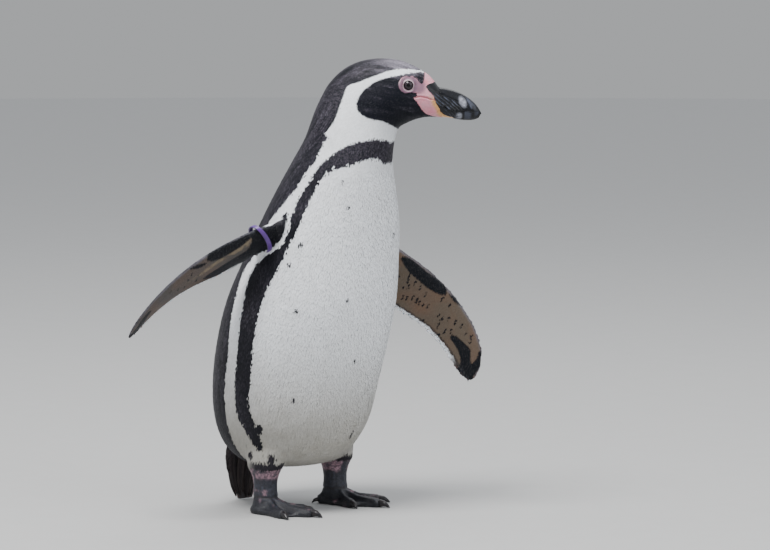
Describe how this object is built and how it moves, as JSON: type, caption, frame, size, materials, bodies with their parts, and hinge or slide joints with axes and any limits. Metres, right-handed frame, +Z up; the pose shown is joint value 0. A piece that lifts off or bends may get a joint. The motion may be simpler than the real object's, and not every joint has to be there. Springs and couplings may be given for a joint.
{
  "type": "humboldt penguin model",
  "caption": "Life-size still model of a Humboldt penguin standing upright, flippers held out, head turned half left, with a plain band on its right flipper.",
  "frame": {"origin": "on the floor, under the middle of the model's box", "axes": "+Z up, the breast faces -Y, the bird's left side is +X; the head looks 45 degrees towards +X from -Y"},
  "size_m": [0.3874, 0.2694, 0.4796],
  "materials": {
    "plumage_white": "matt, short dense overlapping feathers",
    "plumage_black": "satin, short dense overlapping feathers with brown-grey tips",
    "flipper_plumage": "satin, tiny scale-like feathers",
    "foot_skin": "satin, scaly, with pinkish blotches",
    "bill_horn": "polished ridged horn with a pale band",
    "claw_horn": "dull polished horn",
    "eye": "wet, dark red-brown iris with a black pupil",
    "band_plastic": "smooth, slightly worn"
  },
  "bodies": {
    "root": {"head": "plumage_black", "neck": "plumage_white", "trunk": "plumage_white", "tail": "plumage_black", "flipper_left": "flipper_plumage", "flipper_right": "flipper_plumage", "flipper_band": "band_plastic", "bill_upper": "bill_horn", "bill_lower": "bill_horn", "eye_left": "eye", "eye_right": "eye", "leg_left": "foot_skin", "leg_right": "foot_skin", "foot_left": "foot_skin", "foot_right": "foot_skin", "claw_left_inner": "claw_horn", "claw_left_middle": "claw_horn", "claw_left_outer": "claw_horn", "claw_left_hind": "claw_horn", "claw_right_inner": "claw_horn", "claw_right_middle": "claw_horn", "claw_right_outer": "claw_horn", "claw_right_hind": "claw_horn"}
  },
  "joints": []
}
